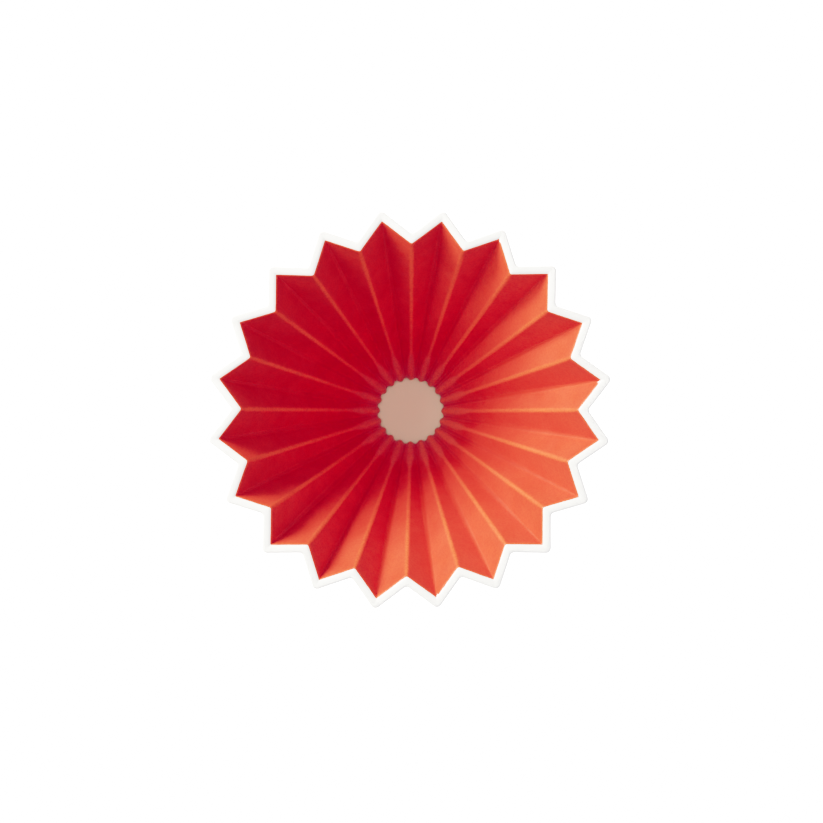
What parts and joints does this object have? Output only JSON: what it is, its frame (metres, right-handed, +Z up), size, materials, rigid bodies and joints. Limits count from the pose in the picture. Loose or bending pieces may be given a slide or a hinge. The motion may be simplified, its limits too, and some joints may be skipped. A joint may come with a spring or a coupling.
{
  "type": "pour over dripper",
  "caption": "Pleated porcelain pour-over dripper cone with an open drip hole, a bare white foot and rim, and a glossy red glaze inside and outside.",
  "frame": {"origin": "centre of the flat foot ring that the dripper stands on", "axes": "+Z up along the cone's axis, from the foot to the open mouth; +X through the middle of an inward fold"},
  "size_m": [0.1348, 0.1348, 0.079],
  "materials": {
    "white_porcelain": "satin",
    "red_glaze": "gloss"
  },
  "bodies": {
    "root": {"porcelain_body": "white_porcelain", "inner_glaze": "red_glaze", "outer_glaze": "red_glaze"}
  },
  "joints": []
}
